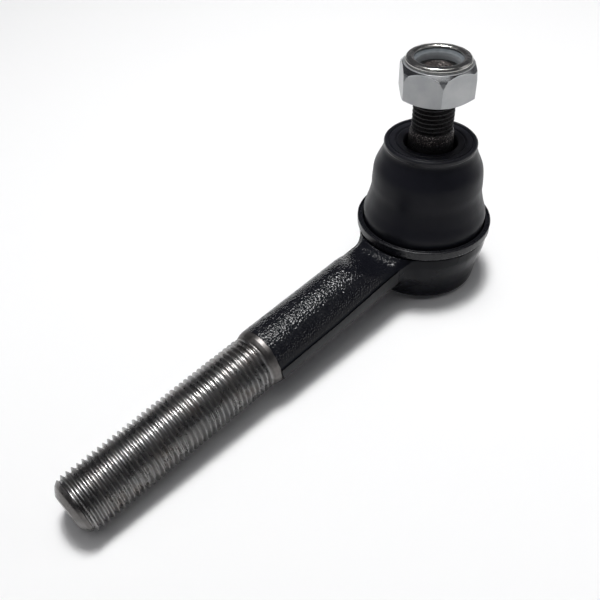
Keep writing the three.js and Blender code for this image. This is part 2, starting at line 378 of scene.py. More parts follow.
HOUSING_OUTSIDE = polygon_distance(rounded([
    (AXIS_R, 0.35, 0),
    (12.6, 0.35, 0.6),
    (13.3, 0, 0.6),
    (16.9, 0, 0.9),
    (17.2, 2.0, 3),
    (17.6, 4.6, 4),
    (18.7, 9.4, 8),
    (19.3, 12.8, 8),
    (19.4, SHOULDER_Z, 0.35),
    (TURRET_R, SHOULDER_Z, 0.3),
    (TURRET_R, HOUSING_TOP, 0.9),
    (AXIS_R, HOUSING_TOP, 0),
]))

HOUSING_CAVITY = polygon_distance(rounded([
    (AXIS_R, -2, 0),
    (11.2, -2, 0),
    (11.0, 0.9, 0.4),
    (11.3, 1.6, 0),
    (13.4, 1.6, 0),
    (13.4, 3.7, 0),
    (12.6, 3.7, 0),
    (12.6, BALL_Z, 0),
    (12.35, 16.3, 5),
    (11.5, 18.95, 5),
    (9.35, 22.25, 0.5),
    (10.6, HOUSING_TOP, 0.3),
    (10.6, 26, 0),
    (AXIS_R, 26, 0),
]))

SHOULDER_CLEARANCE = polygon_distance(
    [(TURRET_R, SHOULDER_Z), (23.5, SHOULDER_Z), (23.5, 40), (TURRET_R, 40)]
)


def in_shank_frame(points):
    """Height above the shank's axis, distance sideways and distance along it."""
    local = points - SHANK_ORIGIN
    return local @ SHANK_UP, points[:, 1], local @ SHANK_ALONG


def bar_distance(points):
    """The forged bar: round, with a lowered flat-topped neck and a trimmed land on both sides."""
    up, side, along = in_shank_frame(points)
    round_bar = np.hypot(up, side) - BAR_R
    ramp_cut = (up - NECK_TOP - NECK_RAMP_RISE * (along - NECK_RAMP_START)) / NECK_RAMP_SCALE
    neck_cut = smooth_min(up - NECK_TOP, ramp_cut, NECK_RAMP_BLEND)
    bar = smooth_max(round_bar, neck_cut, NECK_BLEND)
    land_top = np.clip(LAND_MIDDLE_TOP + (LAND_MIDDLE - along) * LAND_FALL, *LAND_TOP_LIMITS)
    land = np.maximum(np.abs(side) - LAND_Y, np.maximum(up - land_top, LAND_BOTTOM - up))
    bar = smooth_min(bar, land, LAND_BLEND)
    # The skin's end is a little shorter on top, and not quite even.
    ragged = 0.25 * np.sin(1.3 * side + 0.7 * up) * np.cos(0.9 * up)
    end = BAR_END - 0.35 * smooth_step(up, 3, 8) + 0.4 * ragged
    return np.maximum(bar, np.maximum(along - end, -along))


def forging_distance(points):
    """The housing blended into the bar, less its cavity and the turned shoulder of its turret."""
    radius = np.hypot(points[:, 0], points[:, 1])
    height = points[:, 2]
    body = smooth_min(HOUSING_OUTSIDE(radius, height), bar_distance(points), HOUSING_BLEND)
    body = np.maximum(body, -SHOULDER_CLEARANCE(radius, height))
    return np.maximum(body, -HOUSING_CAVITY(radius, height))


def forging_skin(points):
    """Height of the coarse forged and painted skin: strongest on the bar, faint on the housing
    and absent on the machined faces."""
    turret_edge, shoulder_edge, margin = 15.7, 19.6, 0.2
    land_inside, land_low, land_high, land_share = BAR_R - 0.35, -2.6, 2.4, 0.1
    up, side, _ = in_shank_frame(points)
    radius = np.hypot(points[:, 0], points[:, 1])
    on_bar = smooth_step(radius, 18.6, 21.5)
    on_land = (np.abs(side) > land_inside) & (up < land_high) & (up > land_low)
    on_shoulder = (points[:, 2] > SHOULDER_Z - margin) & (radius < shoulder_edge)
    machined = (radius < turret_edge) | on_shoulder
    grain = lattice_noise(points / 0.62, 3)
    swell = lattice_noise(points / 4.2, 11)
    height = 0.04 * grain * smooth_step(up, 2, 5) + 0.02 * swell
    streaks = lattice_noise(points * [0.9, 0.9, 0.16], 17)
    housing = 0.02 * streaks + 0.03 * lattice_noise(points / 3.0, 19)
    out = np.where(on_land, land_share, 1.0) * on_bar * height + (1 - on_bar) * housing
    return np.where(machined, 0, out)


def build_forging():
    """The housing and the painted bar, as one mesh with its coarse skin."""
    # The grid's place was chosen: with another one, an edge of the mesh got four faces.
    low, high = (-69.6, -21.1, -5.6), (20.5, 21.0, 25.2)
    points, faces = contour(forging_distance, low, high, CONTOUR_STEP)
    points = points + surface_normals(forging_distance, points) * forging_skin(points)[:, None]
    return make_object("forging_body", points, faces.tolist(), 40)


# ---------------------------------------------------------------- threads

def thread_depth(phase, depth):
    """Depth of a 60 degree thread below its crest, for a phase from 0 to 1. Widths are in pitches,
    and the flank is mostly straight, eased at the crest and the root."""
    half_crest, flank_width = 0.05, 0.36
    straight, eased = 0.8, 0.2
    away = np.abs((phase + 0.5) % 1 - 0.5)
    flank = np.clip((away - half_crest) / flank_width, 0, 1)
    return depth * (straight * flank + eased * smooth_step(flank, 0, 1))


def threaded_rows(start, end, pitch, column):
    """Heights of a grid whose rows follow the helix, kept between start and end. Column is the part
    of a turn. Past the last column, a row continues in column 0, ROWS_PER_PITCH rows higher."""
    turns = math.ceil((end - start) / pitch) + 1
    row = np.arange((turns + 1) * ROWS_PER_PITCH + 1)
    z = start + pitch * (row[:, None] / ROWS_PER_PITCH - 1 + column[None, :])
    return np.clip(z, start, end)


def helix_faces(rows, sides):
    """Quads of the grid that threaded_rows lays out."""
    faces = []
    for j in range(rows - 1):
        for i in range(sides - 1):
            a = j * sides + i
            faces.append((a, a + 1, a + sides + 1, a + sides))
        k = j + ROWS_PER_PITCH
        if k + 1 < rows:
            a, b = j * sides + sides - 1, k * sides
            faces.append((a, b, b + sides, a + sides))
    return faces


def threaded_rod(name, before, after, start, end, pitch, major, depth, envelope, hand, sides):
    """A rod about Z: a turned profile, a thread from start to end and a turned profile up to the far
    end. envelope(z) limits the radius where the thread runs out and at the chamfer. hand is 1 for a
    right-hand thread and -1 for a left-hand one."""
    run_in = 0.6 * pitch
    column = np.arange(sides) / sides
    z = threaded_rows(start, end, pitch, column)
    phase = z / pitch - column[None, :]
    fade = smooth_step(z, start, start + run_in)
    radius = np.minimum(envelope(z), major - thread_depth(phase, depth) * fade)
    angle = hand * column * 2 * PI
    points = [np.stack([radius * np.cos(angle), radius * np.sin(angle), z], -1).reshape(-1, 3)]
    faces = helix_faces(len(z), sides)
    offset = len(points[0])
    for profile in (before, after):
        r, height = np.asarray(profile, float).T[:, :, None]
        ring = [r * np.cos(angle), r * np.sin(angle), height + 0 * angle]
        points.append(np.stack(ring, -1).reshape(-1, 3))
        faces += [tuple(v + offset for v in f) for f in ring_faces(len(r), sides, False)]
        offset += len(points[-1])
    return make_object(name, np.vstack(points), faces, 38)


def build_shank_thread():
    """The bare turned end of the forging, along local +Z, then laid along the shank."""
    def envelope(z):
        heights = [THREAD_START, 71.3, 126.6, 127.4, THREAD_END]
        return np.interp(z, heights, [THREAD_ROOT_R, THREAD_R, THREAD_R, 7.4, END_CHAMFER_R])

    before = spaced(rounded([
        (0, BAR_END - 1.5, 0),
        (8.3, BAR_END - 1.5, 0),
        (8.36, BAR_END - 0.2, 0.2),
        (8.3, 68.6, 0.8),
        (7.95, 69.55, 0.4),
        (THREAD_ROOT_R, 69.95, 0.2),
        (THREAD_ROOT_R, THREAD_START, 0),
    ]), 0.5)
    after = spaced(rounded([
        (END_CHAMFER_R, THREAD_END, 0),
        (5.9, 128.85, 0.5),
        (4.8, 129.45, 0.25),
        (4.6, SHANK_END, 0.1),
        (0, SHANK_END, 0),
    ]), 0.5)
    rod = threaded_rod(
        "shank_thread", before, after, THREAD_START, THREAD_END, THREAD_PITCH, THREAD_R,
        THREAD_DEPTH, envelope, -1, SHANK_SIDES,
    )
    rod.data.transform(matrix_of(SHANK_UP, (0, 1, 0), SHANK_ALONG, SHANK_ORIGIN * MM))
    return rod


def build_ball_stud():
    """Ball, neck, taper and the M12 thread."""
    chamfer_slope = 1.05

    def envelope(z):
        return np.minimum(STUD_THREAD_R, STUD_TIP_R + (STUD_END - z) * chamfer_slope)

    ball_angles = np.linspace(-math.asin(BALL_FLAT / BALL_R), math.acos(STUD_NECK_R / BALL_R), 40)
    ball = [(BALL_R * math.cos(a), BALL_Z + BALL_R * math.sin(a), 0) for a in ball_angles]
    before = spaced(rounded([
        (0, BALL_Z - BALL_FLAT, 0),
        *ball,
        (STUD_NECK_R, 28.5, 3),
        (7.2, 31.5, 0.5),
        (6.2, STUD_TAPER_TOP, 0.4),
        (STUD_THREAD_R, STUD_THREAD_START, 0),
    ]), 0.6)
    after = [
        (STUD_TIP_R, STUD_END),
        (3.0, STUD_END - 0.05),
        (1.5, STUD_END - 0.1),
        (0, STUD_END - 0.1),
    ]
    return threaded_rod(
        "stud_body", before, after, STUD_THREAD_START, STUD_END, STUD_PITCH, STUD_THREAD_R,
        STUD_THREAD_DEPTH, envelope, 1, STUD_SIDES,
    )


# ---------------------------------------------------------------- boot and its rings

def build_dust_boot():
    """The rubber boot: the outside of its skirt, then its lip, its inside and its foot."""
    skirt = catmull_rom([
        (18.1, 18.95),
        (18.15, 21.6),
        (17.1, 25),
        (16.2, 29),
        (16.05, 32.5),
        (15.55, 36.5),
        (14, 40),
        (13.05, 42.3),
    ], 9)
    lip = rounded([
        (13.05, 42.3, 0),
        (12.95, 42.95, 0.3),
        (13.15, 43.25, 0.15),
        (13.15, 44.1, 0.4),
        (12.75, 44.5, 0.2),
        (12.15, 44.45, 0.15),
        (11.95, 43.95, 0.15),
        (11.7, 43.95, 0.1),
        (11.55, 44.25, 0.2),
        (10.15, 44.2, 0.2),
        (9.95, 43.75, 0.15),
        (9.6, 43.75, 0.15),
        (9.4, 44.1, 0.2),
        (7.75, 43.95, 0.5),
        (7.3, 43.1, 0.6),
        (6.95, 42.2, 0.4),
        (6.95, 40.4, 0.2),
        (7.8, 40.4, 0.1),
        (7.8, 42.6, 0.1),
        (10.0, 42.6, 0.1),
        (10.0, 40.4, 0.1),
        (11.6, 39.7, 1),
        (13.4, 37, 3),
        (14.3, 33, 5),
        (14.5, 28.5, 5),
        (15.75, 24, 3),
        (15.75, 16.3, 0.2),
        (18.1, 16.3, 0.2),
        (18.1, 18.95, 0),
    ])
    profile = np.vstack([skirt[:-1], lip[:-1]])
    return lathe("boot_skin", spaced(profile, 0.7), smooth_angle=50)


def build_base_ring():
    """The metal ring round the boot's foot, with two beads on its upper edge."""
    profile = rounded([
        (18.42, 17.4, 0),
        (18.42, 16.3, 0.1),
        (19.75, 16.3, 0.35),
        (20.0, 16.7, 0.3),
        (20.0, 18.85, 0.22),
        (19.75, 19.0, 0.12),
        (19.45, 19.0, 0.1),
        (19.3, 18.65, 0.1),
        (19.05, 18.65, 0.1),
        (18.95, 18.9, 0.12),
        (18.5, 18.9, 0.12),
        (18.42, 18.4, 0),
    ])
    return lathe("base_ring", spaced(profile, 0.6))


def build_closing_plate():
    """The dished disc that closes the housing from below."""
    profile = rounded([
        (0, 0, 0),
        (9.2, 0, 0.7),
        (10.3, 1.9, 0.5),
        (13.1, 1.9, 0.1),
        (13.1, 3.4, 0.1),
        (9.5, 3.4, 0.6),
        (8.6, 1.5, 0.6),
        (0, 1.5, 0),
    ])
    return lathe("cover_plate", spaced(profile, 0.8), closed=False)


# ---------------------------------------------------------------- nut and insert

def hexagon_prism(low, high):
    """The nut's flats. Three points close together round each corner a little."""
    corner, cut = NUT_FLATS / math.sqrt(3), math.radians(1.4)
    tip, shoulder = 0.9975 * corner, 0.9935 * corner
    points = []
    for k in range(6):
        for turn, r in ((-cut, shoulder), (0, tip), (cut, shoulder)):
            angle = NUT_CORNER_ANGLE + k * PI / 3 + turn
            flat = NUT_FLATS / 2 / math.cos(PI / 6 - abs(turn))
            points.append((min(r, flat) * math.cos(angle), min(r, flat) * math.sin(angle)))
    count = len(points)
    sides = [(i, (i + 1) % count, count + (i + 1) % count, count + i) for i in range(count)]
    caps = [tuple(range(count))[::-1], tuple(range(count, 2 * count))]
    return make_object("nut_flats", [(*p, z) for z in (low, high) for p in points], sides + caps)


def keep_common(obj, other, smooth_angle):
    """Cuts obj down to what it shares with other, and removes other."""
    modifier = obj.modifiers.new("common", "BOOLEAN")
    modifier.operation, modifier.solver, modifier.object = "INTERSECT", "EXACT", other
    bpy.context.view_layer.update()
    result = obj.evaluated_get(bpy.context.evaluated_depsgraph_get())
    mesh = bpy.data.meshes.new_from_object(result)
    obj.modifiers.clear()
    obj.data = mesh
    bpy.data.objects.remove(other)
    mesh.shade_smooth()
    mesh.set_sharp_from_angle(angle=math.radians(smooth_angle))


def build_lock_nut():
    """The nut: its turned profile cut by a hexagon, with the rolled collar above a narrow shelf."""
    outside = rounded([
        (6.6, NUT_BOTTOM, 0.15),
        (9.1, NUT_BOTTOM, 0.2),
        (11.3, 59.2, 0.1),
        (11.3, 62.9, 0.1),
        (10.97, 64.0, 0.1),
        (10.38, 66.05, 0.15),
        (9.3, 67.2, 0.1),
        (8.7, 67.24, 0.1),
        (8.66, 67.6, 0.2),
        (8.9, 68.0, 0.3),
        (8.4, 68.6, 0.5),
        (7.3, NUT_TOP, 0.8),
        (6.55, 68.5, 0.3),
        (6.5, 68.05, 0.12),
        (8.3, 68.0, 0),
        (8.3, 65.0, 0),
        (6.0, 65.0, 0.1),
        (6.0, 58.6, 0.2),
        (6.6, NUT_BOTTOM, 0),
    ], 8)
    nut = lathe("nut_shell", outside)
    keep_common(nut, hexagon_prism(NUT_BOTTOM - 2, NUT_TOP + 2), 22)
    return nut


def build_nylon_insert():
    """The locking ring. Its bore just clears the stud's thread."""
    profile = rounded([
        (5.9, 65.2, 0.1),
        (8.2, 65.2, 0.1),
        (8.2, 67.95, 0.1),
        (6.6, 67.95, 0.3),
        (6.0, 67.0, 0.9),
        (5.9, 66.3, 0.5),
        (5.9, 65.2, 0),
    ])
    return lathe("insert_ring", spaced(profile, 0.4))


# ---------------------------------------------------------------- materials

# The Mix node's colour inputs and colour output.
MIX_FIRST, MIX_SECOND, MIX_RESULT = 6, 7, 2


def new_material(name):
    """A material, its node tree and its shader."""
    material = bpy.data.materials.new(name)
    material.use_nodes = True
    shader = material.node_tree.nodes["Principled BSDF"]
    return material, material.node_tree, shader


def add(tree, kind, **values):
    """A new node, with input sockets or properties set by name."""
    node = tree.nodes.new(kind)
    for key, value in values.items():
        if key in node.inputs:
            node.inputs[key].default_value = value
        else:
            setattr(node, key, value)
    return node


def place(tree, stretch=(1, 1, 1)):
    """Object coordinates, in metres, stretched along each axis."""
    coords = add(tree, "ShaderNodeTexCoord")
    mapping = add(tree, "ShaderNodeMapping", Scale=stretch)
    tree.links.new(coords.outputs["Object"], mapping.inputs["Vector"])
    return mapping.outputs["Vector"]


def noise(tree, vector, size_mm, detail=3.0, rough=0.55):
    """Noise between 0 and 1, with features about size_mm long."""
    node = add(tree, "ShaderNodeTexNoise", Scale=1 / (size_mm * MM), Detail=detail, Roughness=rough)
    tree.links.new(vector, node.inputs["Vector"])
    return node.outputs["Fac"]


def ramp(tree, fac, stops):
    """Colour stops as (position, (r, g, b))."""
    node = add(tree, "ShaderNodeValToRGB")
    elements = node.color_ramp.elements
    while len(elements) > len(stops):
        elements.remove(elements[-1])
    while len(elements) < len(stops):
        elements.new(1.0)
    for element, (position, colour) in zip(elements, stops):
        element.position = position
        element.color = (*colour, 1)
    tree.links.new(fac, node.inputs["Fac"])
    return node.outputs["Color"]


def between(tree, fac, low, high, from_low=0.3, from_high=0.7):
    """A value that goes from low to high as fac goes from from_low to from_high. Most of a noise
    lies in the default range."""
    node = add(tree, "ShaderNodeMapRange")
    node.inputs["From Min"].default_value = from_low
    node.inputs["From Max"].default_value = from_high
    node.inputs["To Min"].default_value = low
    node.inputs["To Max"].default_value = high
    tree.links.new(fac, node.inputs["Value"])
    return node.outputs["Result"]


def across(tree, distance, low, high, from_mm, to_mm):
    """A value that goes from low to high as a distance in metres passes two marks."""
    return between(tree, distance, low, high, from_mm * MM, to_mm * MM)


def math_node(tree, operation, a, b=0.0):
    """The result of an operation on sockets or numbers."""
    node = add(tree, "ShaderNodeMath", operation=operation)
    for socket, value in zip(node.inputs, (a, b)):
        if isinstance(value, (int, float)):
            socket.default_value = value
        else:
            tree.links.new(value, socket)
    return node.outputs["Value"]


def bump(tree, shader, heights):
    """Bumps in a chain, from (height socket, depth in millimetres)."""
    last = None
    for height, depth in heights:
        node = add(tree, "ShaderNodeBump", Strength=1.0, Distance=depth * MM)
        tree.links.new(height, node.inputs["Height"])
        if last is not None:
            tree.links.new(last, node.inputs["Normal"])
        last = node.outputs["Normal"]
    tree.links.new(last, shader.inputs["Normal"])


def axis_value(tree, vector, axis):
    """One coordinate of a vector."""
    node = add(tree, "ShaderNodeSeparateXYZ")
    tree.links.new(vector, node.inputs["Vector"])
    return node.outputs[axis]


def off_axis(tree, vector):
    """Distance from the Z axis."""
    flat = add(tree, "ShaderNodeVectorMath", operation="MULTIPLY")
    tree.links.new(vector, flat.inputs[0])
    flat.inputs[1].default_value = (1, 1, 0)
    length = add(tree, "ShaderNodeVectorMath", operation="LENGTH")
    tree.links.new(flat.outputs["Vector"], length.inputs[0])
    return length.outputs["Value"]


def along_direction(tree, vector, direction, offset_mm):
    """Distance in metres along a direction, from a plane offset_mm along it."""
    dot = add(tree, "ShaderNodeVectorMath", operation="DOT_PRODUCT")
    tree.links.new(vector, dot.inputs[0])
    dot.inputs[1].default_value = tuple(float(v) for v in direction)
    return math_node(tree, "SUBTRACT", dot.outputs["Value"], float(offset_mm) * MM)


def blend_colours(tree, fac, first, second):
    """The first colour socket, turned into the second colour or socket where fac is 1."""
    mix = add(tree, "ShaderNodeMix", data_type="RGBA")
    tree.links.new(fac, mix.inputs["Factor"])
    tree.links.new(first, mix.inputs[MIX_FIRST])
    if isinstance(second, tuple):
        mix.inputs[MIX_SECOND].default_value = (*second, 1)
    else:
        tree.links.new(second, mix.inputs[MIX_SECOND])
    return mix.outputs[MIX_RESULT]


def paint_material():
    """Gloss black paint over a coarse forged skin. The bar has a paler trimmed strip on each side,
    partly painted reflection of the floor, with a dark painted shadow of the step along its upper edge."""
    material, tree, shader = new_material("forging_paint")
    at = place(tree)
    up = along_direction(tree, at, SHANK_UP, SHANK_ORIGIN @ SHANK_UP)
    along = along_direction(tree, at, SHANK_ALONG, SHANK_ORIGIN @ SHANK_ALONG)
    on_bar = across(tree, axis_value(tree, at, "X"), 1, 0, -21.5, -19.5)
    land_low, land_high = (limit * MM for limit in LAND_TOP_LIMITS)
    land_top = across(tree, along, land_high, land_low, LAND_FALL_FROM, LAND_FALL_TO)
    edge = math_node(tree, "SUBTRACT", up, land_top)
    below_edge = across(tree, edge, 1, 0, -0.04, 0.04)
    above_bottom = across(tree, up, 0, 1, -2.6, -2.4)
    strip = math_node(tree, "MULTIPLY", below_edge, above_bottom)
    strip = math_node(tree, "MULTIPLY", strip, on_bar)
    # Painted shadow: a dark band along the land's upper edge stands in for the shadow of its small step,
    # and it also lowers the specular there.
    painted_step_shadow = across(tree, math_node(tree, "ABSOLUTE", edge), 1, 0, 0.09, 0.15)
    painted_step_shadow = math_node(tree, "MULTIPLY", painted_step_shadow, on_bar)

    tone = noise(tree, at, 6.0)
    skin = ramp(tree, tone, [(0.3, (0.0048, 0.0052, 0.0078)), (0.7, (0.0070, 0.0075, 0.0102))])
    grey = noise(tree, at, 1.2)
    # Partly painted reflection: the strip's paler grey is the trimmed land's own colour and also stands
    # in for the pale floor reflected in it.
    strip_grey_and_reflection = ramp(tree, grey, [(0.3, (0.013, 0.013, 0.015)), (0.7, (0.019, 0.019, 0.021))])
    colour = blend_colours(tree, strip, skin, strip_grey_and_reflection)
    colour = blend_colours(tree, painted_step_shadow, colour, (0.001, 0.001, 0.0012))
    tree.links.new(colour, shader.inputs["Base Color"])

    gloss = between(tree, noise(tree, at, 1.4), 0.08, 0.15)
    satin = math_node(tree, "MULTIPLY", strip, 0.2)
    tree.links.new(math_node(tree, "ADD", gloss, satin), shader.inputs["Roughness"])
    # The coat is thickest on the bar's crown, so its reflections are strongest there.
    thick_coat = math_node(tree, "MULTIPLY", across(tree, up, 0, 0.22, 3.5, 5.5), on_bar)
    sheen = math_node(tree, "ADD", between(tree, on_bar, 0.1, 0.13, 0, 1), thick_coat)
    dull = math_node(tree, "SUBTRACT", 1.0, painted_step_shadow)
    tree.links.new(math_node(tree, "MULTIPLY", sheen, dull), shader.inputs["Specular IOR Level"])

    # The forged grain is coarse on top of the bar and fades on its sides and on the housing.
    upper = across(tree, up, 0.06, 1, 1.8, 4.5)
    near_bar = across(tree, axis_value(tree, at, "X"), 1, 0.12, -19.0, -17.0)
    coarse = math_node(tree, "MULTIPLY", near_bar, upper)
    grain = math_node(tree, "MULTIPLY", noise(tree, at, 0.52, 0.6), coarse)
    pits = noise(tree, place(tree, (1, 1, 0.6)), 0.6, 3.0)
    bump(tree, shader, [(grain, 0.27), (pits, 0.01), (noise(tree, at, 0.25, 1.0), 0.006)])
    return material


def bare_steel_material():
    """Oiled steel of the rolled thread, with brownish patches. The shoulder is duller. The shoulder and
    the
    chamfered end are darker: a darker copy of the steel colour, which is painted shade."""
    material, tree, shader = new_material("thread_steel")
    at = place(tree)
    along = along_direction(tree, at, SHANK_ALONG, SHANK_ORIGIN @ SHANK_ALONG)
    tone = noise(tree, at, 5.0, 5.0)
    colour = ramp(tree, tone, [
        (0.30, (0.22, 0.22, 0.222)),
        (0.52, (0.29, 0.285, 0.282)),
        (0.70, (0.235, 0.218, 0.208)),
    ])
    # Painted shade: a darker copy of the steel colour, laid on the chamfered end and the shoulder.
    shaded_steel = ramp(tree, noise(tree, at, 1.5, 3.0), [
        (0.3, (0.10, 0.097, 0.095)),
        (0.7, (0.165, 0.155, 0.15)),
    ])
    # Where that painted shade goes: the chamfered end and the shoulder.
    at_end = across(tree, along, 0, 1, 126.8, 127.6)
    at_shoulder = across(tree, along, 1, 0, 70.0, 70.8)
    bare = math_node(tree, "MAXIMUM", at_end, at_shoulder)
    tree.links.new(blend_colours(tree, bare, colour, shaded_steel), shader.inputs["Base Color"])
    shader.inputs["Metallic"].default_value = 1.0
    polish = between(tree, noise(tree, at, 3.0, 4.0), 0.23, 0.35)
    dull = math_node(tree, "MULTIPLY", at_shoulder, 0.1)
    tree.links.new(math_node(tree, "ADD", polish, dull), shader.inputs["Roughness"])
    bump(tree, shader, [(noise(tree, at, 0.8, 3.0), 0.002), (noise(tree, at, 0.14, 2.0), 0.0006)])
    return material


def rubber_material():
    """Satin black rubber with a faint bloom and moulding grain. Its lip shines a little more."""
    material, tree, shader = new_material("rubber_boot")
    at = place(tree)
    tone = noise(tree, at, 9.0, 4.0)
    colour = ramp(tree, tone, [(0.3, (0.0070, 0.0074, 0.0110)), (0.75, (0.0098, 0.0102, 0.0145))])
    tree.links.new(colour, shader.inputs["Base Color"])
    tree.links.new(between(tree, noise(tree, at, 3.0, 4.0), 0.32, 0.42), shader.inputs["Roughness"])
    sheen = across(tree, axis_value(tree, at, "Z"), 0.12, 0.3, 41.5, 43.0)
    tree.links.new(sheen, shader.inputs["Specular IOR Level"])
    bump(tree, shader, [(noise(tree, at, 0.35, 3.0), 0.014), (noise(tree, at, 2.6, 2.0), 0.03)])
    return material


def black_steel_material():
    """Black coated pressed steel, with fine scratches round the axis."""
    material, tree, shader = new_material("coated_steel")
    at = place(tree)
    tone = noise(tree, at, 2.5, 4.0)
    colour = ramp(tree, tone, [(0.3, (0.0055, 0.0058, 0.0082)), (0.7, (0.0090, 0.0093, 0.0120))])
    tree.links.new(colour, shader.inputs["Base Color"])
    tree.links.new(between(tree, noise(tree, at, 0.8, 4.0), 0.25, 0.35), shader.inputs["Roughness"])
    shader.inputs["Specular IOR Level"].default_value = 0.35
    scratches = noise(tree, place(tree, (1, 1, 9)), 1.6, 4.0)
    bump(tree, shader, [(noise(tree, at, 0.4, 3.0), 0.005), (scratches, 0.006)])
    return material


def phosphate_material():
    """Black phosphate on the stud. The end face is rough bare steel, tinted by rust, and the top of
    the taper is flaky with small bright chips, which also stand in for glints as painted highlights."""
    material, tree, shader = new_material("stud_phosphate")
    at = place(tree)
    height = axis_value(tree, at, "Z")
    at_end = across(tree, height, 0, 1, STUD_END - 0.35, STUD_END - 0.2)
    near_taper_top = across(tree, height, 0, 1, 45.2, 46.2)
    below_thread = across(tree, height, 1, 0, 48.0, 48.4)
    flaky = math_node(tree, "MULTIPLY", near_taper_top, below_thread)
    flakes = noise(tree, at, 0.55, 4.0, 0.7)
    chips = noise(tree, at, 0.33, 1.5, 0.6)
    dark = ramp(tree, flakes, [(0.35, (0.007, 0.007, 0.0078)), (0.75, (0.022, 0.0205, 0.0215))])
    # Partly painted highlight: the small bright chips also stand in for glints.
    chips_and_glints = ramp(tree, chips, [
        (0.50, (0.009, 0.007, 0.007)),
        (0.60, (0.045, 0.034, 0.032)),
        (0.66, (0.55, 0.50, 0.48)),
    ])
    rust = ramp(tree, flakes, [
        (0.40, (0.014, 0.009, 0.008)),
        (0.56, (0.052, 0.042, 0.038)),
        (0.68, (0.50, 0.43, 0.40)),
    ])
    colour = blend_colours(tree, flaky, dark, chips_and_glints)
    colour = blend_colours(tree, at_end, colour, rust)
    tree.links.new(colour, shader.inputs["Base Color"])
    shader.inputs["Metallic"].default_value = 0.35
    tree.links.new(between(tree, flakes, 0.22, 0.42), shader.inputs["Roughness"])
    on_taper = across(tree, height, 1, 0.05, 48.0, 48.6)
    rough_skin = math_node(tree, "MULTIPLY", noise(tree, at, 0.45, 2.0, 0.6), on_taper)
    bump(tree, shader, [(rough_skin, 0.5), (noise(tree, at, 0.2, 2.0), 0.01)])
    return material


def zinc_material():
    """Bright zinc plate: satin on the flats, dull on the shelf and bright on the chamfer and the
    rolled collar."""
    material, tree, shader = new_material("nut_zinc")
    at = place(tree)
    tone = noise(tree, at, 4.0, 5.0)
    height = axis_value(tree, at, "Z")
    above_shelf = across(tree, height, 0, 1, 67.3, 67.8)
    colour = ramp(tree, tone, [(0.3, (0.345, 0.355, 0.365)), (0.7, (0.41, 0.415, 0.42))])
    colour = blend_colours(tree, above_shelf, colour, (0.66, 0.65, 0.62))
    tree.links.new(colour, shader.inputs["Base Color"])
    shader.inputs["Metallic"].default_value = 1.0

    satin, chamfer_gloss, collar_gloss, shelf_rough = 0.34, 0.2, 0.17, 0.5
    radius = off_axis(tree, at)
    collar = across(tree, height, satin, collar_gloss, *COLLAR_FOOT)
    # The height where a cone parallel to the chamfer meets the axis. It is greatest on the chamfer.
    chamfer_slope = 1.07
    cone = math_node(tree, "ADD", math_node(tree, "MULTIPLY", radius, chamfer_slope), height)
    chamfer = across(tree, cone, satin, chamfer_gloss, 76.7, 76.9)
    outer = across(tree, radius, shelf_rough, 0, 9.30, 9.42)
    shelf = math_node(tree, "MULTIPLY", outer, across(tree, height, 1, 0, *COLLAR_FOOT))
    polished = math_node(tree, "MINIMUM", collar, chamfer)
    rough = math_node(tree, "MAXIMUM", polished, shelf)
    mottle = between(tree, noise(tree, at, 0.7, 4.0), 0.85, 1.2)
    tree.links.new(math_node(tree, "MULTIPLY", rough, mottle), shader.inputs["Roughness"])
    rolled = math_node(tree, "MULTIPLY", noise(tree, at, 1.6, 2.0), above_shelf)
    fine, finer = noise(tree, at, 0.8, 3.0), noise(tree, at, 0.22, 2.0)
    bump(tree, shader, [(rolled, 0.12), (fine, 0.018), (finer, 0.008)])
    return material


def nylon_material():
    """Translucent grey nylon, painted lighter down in the bore: painted light in place of the light that
    comes through it.
    """
    material, tree, shader = new_material("insert_nylon")
    at = place(tree)
    tone = noise(tree, at, 1.5, 3.0)
    colour = ramp(tree, tone, [(0.3, (0.17, 0.19, 0.205)), (0.7, (0.22, 0.24, 0.26))])
    # Painted light: the colour turns pale down in the bore, lifting the shade there.
    painted_bore_light = across(tree, axis_value(tree, at, "Z"), 1, 0, 66.2, 67.4)
    colour = blend_colours(tree, painted_bore_light, colour, (0.60, 0.63, 0.65))
    tree.links.new(colour, shader.inputs["Base Color"])
    tree.links.new(between(tree, tone, 0.32, 0.45), shader.inputs["Roughness"])
    shader.inputs["Subsurface Weight"].default_value = 0.15
    shader.inputs["Subsurface Radius"].default_value = (0.001, 0.001, 0.0012)
    bump(tree, shader, [(noise(tree, at, 0.5, 3.0), 0.015)])
    return material


def plastic_material():
    """Natural acetal of the ball seats, with faint flow marks."""
    material, tree, shader = new_material("seat_acetal")
    at = place(tree, (1, 1, 3))
    tone = noise(tree, at, 2.5, 4.0)
    colour = ramp(tree, tone, [(0.3, (0.74, 0.71, 0.62)), (0.7, (0.82, 0.80, 0.72))])
    tree.links.new(colour, shader.inputs["Base Color"])
    tree.links.new(between(tree, noise(tree, at, 0.8), 0.35, 0.5), shader.inputs["Roughness"])
    bump(tree, shader, [(noise(tree, at, 0.3), 0.006)])
    return material


def spring_material():
    """Tempered spring steel, blued in patches."""
    material, tree, shader = new_material("tempered_steel")
    at = place(tree)
    tone = noise(tree, at, 3.0, 4.0)
    colour = ramp(tree, tone, [(0.3, (0.20, 0.205, 0.23)), (0.7, (0.36, 0.35, 0.33))])
    tree.links.new(colour, shader.inputs["Base Color"])
    shader.inputs["Metallic"].default_value = 1.0
    tree.links.new(between(tree, noise(tree, at, 0.6), 0.25, 0.42), shader.inputs["Roughness"])
    bump(tree, shader, [(noise(tree, at, 0.25), 0.005)])
    return material


